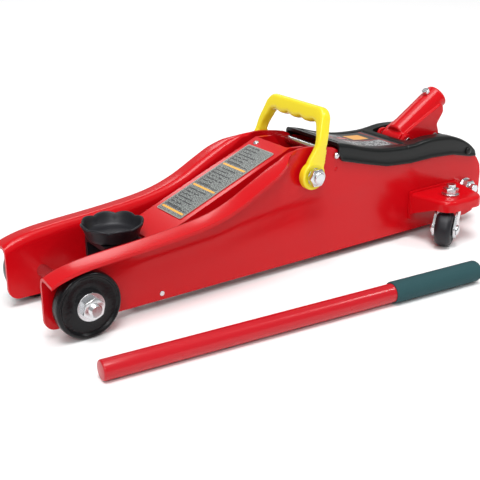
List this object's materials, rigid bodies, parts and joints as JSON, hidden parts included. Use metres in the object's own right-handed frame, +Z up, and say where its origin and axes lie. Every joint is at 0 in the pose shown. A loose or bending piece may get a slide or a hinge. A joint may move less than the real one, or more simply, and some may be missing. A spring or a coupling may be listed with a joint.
{
  "type": "trolley jack",
  "caption": "Low wheeled hydraulic trolley jack with a lifting arm, a turning saddle cup, a carrying handle, swivelling rear casters and a loose pump bar.",
  "frame": {"origin": "on the floor, under the middle of the box of the whole part with its loose bar", "axes": "+X towards the handle end, -X towards the lifting end, -Y towards the side where the loose bar lies, +Z up"},
  "size_m": [0.547, 0.2736, 0.1658],
  "materials": {
    "red_paint": "gloss red enamel",
    "black_enamel": "gloss black enamel",
    "black_plastic": "satin moulded plastic",
    "yellow_plastic": "gloss moulded plastic",
    "zinc": "bright zinc plating",
    "steel": "turned steel",
    "label_grey": "printed speckled film",
    "label_dark": "printed film",
    "grip_rubber": "soft moulded rubber",
    "black_rubber": "moulded rubber",
    "spring_steel": "drawn spring wire"
  },
  "bodies": {
    "frame": {"side_plate_left": "red_paint", "side_plate_right": "red_paint", "cover_tie_rod": "zinc", "arm_stop_rod": "zinc", "front_axle": "zinc", "axle_nut_left": "zinc", "axle_nut_right": "zinc", "arm_pivot_shaft": "steel", "pivot_nut_left": "zinc", "pivot_nut_right": "zinc", "rod_pivot_pin_left": "steel", "rod_pivot_pin_right": "steel", "cylinder_head": "steel", "ram_cylinder": "steel", "oil_tank": "red_paint", "filler_plug": "black_rubber", "pump_block": "red_paint", "unit_stud": "zinc", "stud_nut_left": "zinc", "stud_nut_right": "zinc", "return_spring_left": "spring_steel", "return_spring_right": "spring_steel", "pump_spring": "spring_steel", "socket_pin": "zinc", "rear_cover": "black_plastic", "cover_label": "label_dark", "cover_rivet_left": "black_plastic", "cover_rivet_right": "black_plastic", "rear_bracket_left": "red_paint", "rear_bracket_right": "red_paint"},
    "left_front_wheel": {"front_wheel_left": "black_enamel"},
    "right_front_wheel": {"front_wheel_right": "black_enamel"},
    "left_caster": {"caster_fork_left": "zinc", "kingpin_nut_left": "zinc", "caster_axle_left": "zinc"},
    "right_caster": {"caster_fork_right": "zinc", "kingpin_nut_right": "zinc", "caster_axle_right": "zinc"},
    "left_caster_roller": {"caster_wheel_left": "black_enamel"},
    "right_caster_roller": {"caster_wheel_right": "black_enamel"},
    "arm": {"lift_arm": "red_paint", "arm_label": "label_grey", "arm_rivet": "zinc", "arm_lug_pin": "steel", "saddle_pin": "steel"},
    "saddle_head": {"saddle_carrier": "black_enamel"},
    "saddle_cup": {"saddle": "black_enamel"},
    "left_levelling_rod": {"levelling_rod_left": "black_enamel"},
    "right_levelling_rod": {"levelling_rod_right": "black_enamel"},
    "ram_rod": {"ram": "steel", "ram_clevis": "steel"},
    "socket": {"handle_socket": "red_paint", "socket_lock_screw": "zinc", "pump_roller": "steel", "roller_pin": "zinc"},
    "plunger": {"pump_plunger": "steel"},
    "valve": {"release_valve": "zinc"},
    "carrying_handle": {"carry_handle": "yellow_plastic"},
    "loose_bar": {"pump_bar": "red_paint", "bar_grip": "grip_rubber"}
  },
  "joints": [
    {"name": "left_front_wheel_roll", "type": "hinge", "parent": "frame", "child": "left_front_wheel", "pos_m": [-0.2385, -0.0138, 0.031], "axis": [0, 1, 0], "continuous": true},
    {"name": "left_caster_swivel", "type": "hinge", "parent": "frame", "child": "left_caster", "pos_m": [0.1935, -0.0303, 0.03], "axis": [0, 0, 1], "range_deg": [-36, 154]},
    {"name": "left_caster_roll", "type": "hinge", "parent": "left_caster", "child": "left_caster_roller", "pos_m": [0.17757, -0.04065, 0.019], "axis": [-0.5446, 0.8387, 0], "continuous": true},
    {"name": "right_front_wheel_roll", "type": "hinge", "parent": "frame", "child": "right_front_wheel", "pos_m": [-0.2385, 0.0942, 0.031], "axis": [0, 1, 0], "continuous": true},
    {"name": "right_caster_swivel", "type": "hinge", "parent": "frame", "child": "right_caster", "pos_m": [0.1935, 0.1107, 0.03], "axis": [0, 0, 1], "range_deg": [-154, 36]},
    {"name": "right_caster_roll", "type": "hinge", "parent": "right_caster", "child": "right_caster_roller", "pos_m": [0.17757, 0.12105, 0.019], "axis": [0.5446, 0.8387, 0], "continuous": true},
    {"name": "arm_lift", "type": "hinge", "parent": "frame", "child": "arm", "pos_m": [0.0155, 0.0402, 0.1], "axis": [0, 1, 0], "range_deg": [0, 66]},
    {"name": "head_level", "type": "hinge", "parent": "arm", "child": "saddle_head", "pos_m": [-0.1785, 0.0402, 0.038], "axis": [0, 1, 0], "range_deg": [-66, 0]},
    {"name": "saddle_turn", "type": "hinge", "parent": "saddle_head", "child": "saddle_cup", "pos_m": [-0.1825, 0.0402, 0.064], "axis": [0, 0, 1], "continuous": true},
    {"name": "left_rod_lift", "type": "hinge", "parent": "frame", "child": "left_levelling_rod", "pos_m": [0.0155, 0.0072, 0.08], "axis": [0, 1, 0], "range_deg": [0, 66]},
    {"name": "right_rod_lift", "type": "hinge", "parent": "frame", "child": "right_levelling_rod", "pos_m": [0.0155, 0.0732, 0.08], "axis": [0, 1, 0], "range_deg": [0, 66]},
    {"name": "ram_stroke", "type": "slide", "parent": "frame", "child": "ram_rod", "axis": [-1, 0, 0], "range_m": [0, 0.049]},
    {"name": "socket_pump", "type": "hinge", "parent": "frame", "child": "socket", "pos_m": [0.1735, 0.0402, 0.104], "axis": [0, -1, 0], "range_deg": [-8, 30]},
    {"name": "plunger_stroke", "type": "slide", "parent": "frame", "child": "plunger", "axis": [0, 0, 1], "range_m": [-0.0065, 0.0235], "deforming": ["pump_spring"]},
    {"name": "valve_turn", "type": "hinge", "parent": "frame", "child": "valve", "pos_m": [0.1965, 0.0402, 0.084], "axis": [0, 0, 1], "range_deg": [0, 180]},
    {"name": "carry_swing", "type": "hinge", "parent": "frame", "child": "carrying_handle", "pos_m": [0.0155, 0.0402, 0.1], "axis": [0, 1, 0], "range_deg": [-19, 28]},
    {"name": "bar_pick_up", "type": "slide", "parent": "frame", "child": "loose_bar", "axis": [0, 0, 1], "range_m": [0, 0.25]}
  ],
  "couplings": [
    {"joint": "head_level", "follows": "arm_lift", "ratio": -1},
    {"joint": "left_rod_lift", "follows": "arm_lift", "ratio": 1},
    {"joint": "right_rod_lift", "follows": "arm_lift", "ratio": 1},
    {"joint": "ram_stroke", "follows": "arm_lift", "m_per_rad": 0.0422},
    {"joint": "plunger_stroke", "follows": "socket_pump", "m_per_rad": 0.0445}
  ]
}
